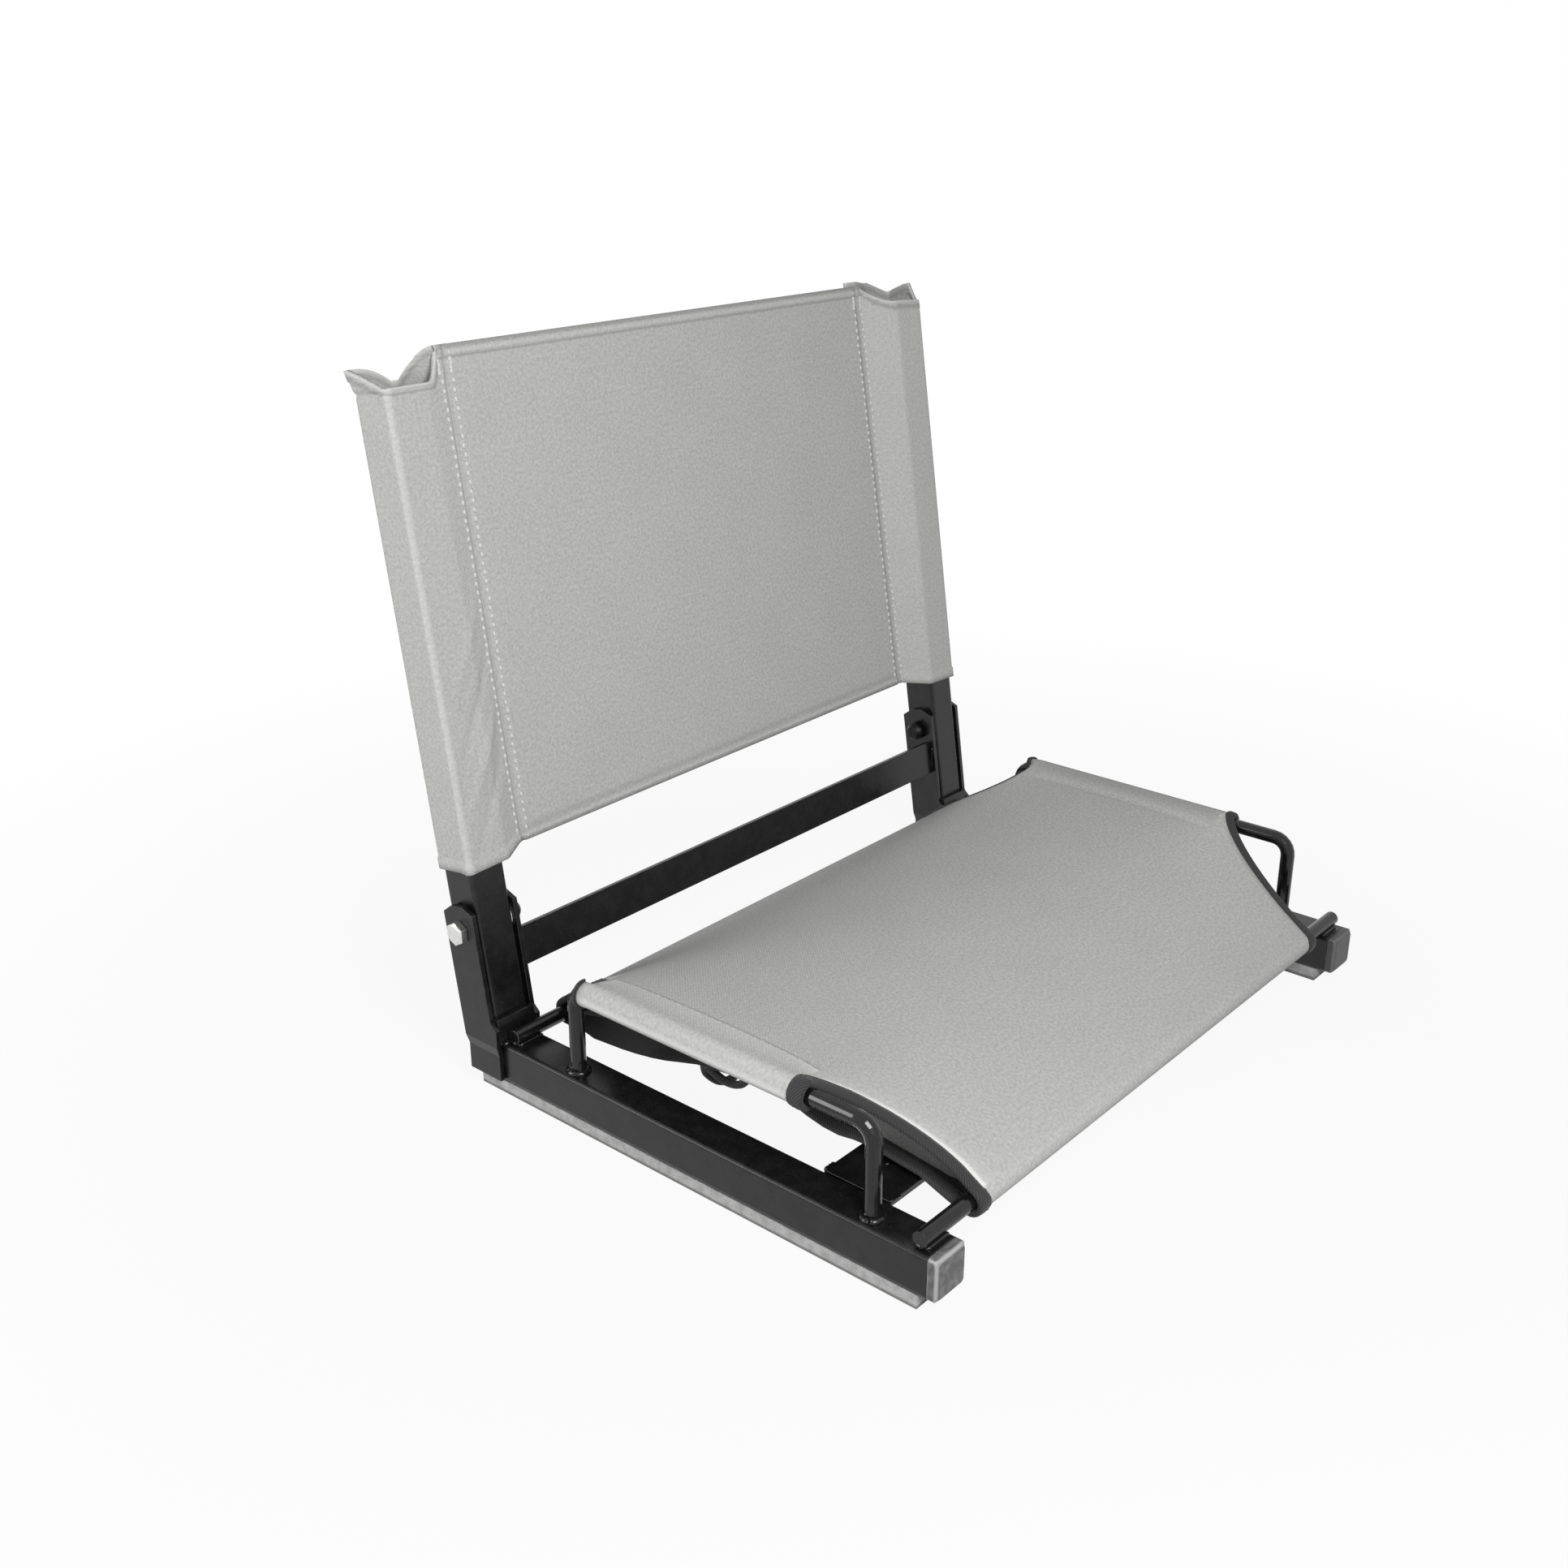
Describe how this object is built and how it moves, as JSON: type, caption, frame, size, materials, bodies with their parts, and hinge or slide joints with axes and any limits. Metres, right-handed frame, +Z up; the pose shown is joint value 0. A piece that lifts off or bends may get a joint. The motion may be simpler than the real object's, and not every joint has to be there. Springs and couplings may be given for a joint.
{
  "type": "stadium chair",
  "caption": "Folding stadium chair with a slung canvas seat and back on a low black steel frame that rests on a bench.",
  "frame": {"origin": "bottom centre of the chair's bounding box, on the plane of the rubber strips' undersides", "axes": "+Z up, -Y the way the chair faces, +X across it; left is the -X side, as seen from the front"},
  "size_m": [0.5008, 0.4118, 0.4352],
  "materials": {
    "frame_coat": "black powder coat, satin",
    "canvas": "grey woven canvas",
    "binding_tape": "dark woven tape",
    "strip_rubber": "matt grey",
    "cap_plastic": "moulded, satin",
    "zinc": "bright zinc plate",
    "black_nut": "black oxide",
    "nylon": "natural nylon",
    "lacing": "black braided cord"
  },
  "bodies": {
    "base": {"left_rail": "frame_coat", "right_rail": "frame_coat", "left_rail_front_cap": "cap_plastic", "right_rail_front_cap": "cap_plastic", "left_rubber_strip": "strip_rubber", "right_rubber_strip": "strip_rubber", "left_seat_rod": "frame_coat", "right_seat_rod": "frame_coat", "front_rod": "frame_coat", "rear_rod": "frame_coat", "front_cross_plate": "frame_coat", "rear_crossbar": "frame_coat", "left_stop_plate": "frame_coat", "right_stop_plate": "frame_coat", "left_outer_ear": "frame_coat", "left_inner_ear": "frame_coat", "right_outer_ear": "frame_coat", "right_inner_ear": "frame_coat", "left_pivot_bolt": "zinc", "right_pivot_bolt": "zinc", "left_pivot_nut": "black_nut", "right_pivot_nut": "black_nut", "left_outer_washer": "nylon", "left_inner_washer": "nylon", "right_outer_washer": "nylon", "right_inner_washer": "nylon", "seat_sling": "canvas", "left_front_binding": "binding_tape", "right_front_binding": "binding_tape", "left_rear_binding": "binding_tape", "right_rear_binding": "binding_tape", "lacing_cord": "lacing"},
    "backrest": {"left_upright": "frame_coat", "right_upright": "frame_coat", "left_upright_top_plug": "cap_plastic", "right_upright_top_plug": "cap_plastic", "back_sling": "canvas"}
  },
  "joints": [
    {"name": "back_fold", "type": "hinge", "parent": "base", "child": "backrest", "pos_m": [0, 0.14209, 0.1038], "axis": [1, 0, 0], "range_deg": [0, 90]}
  ]
}
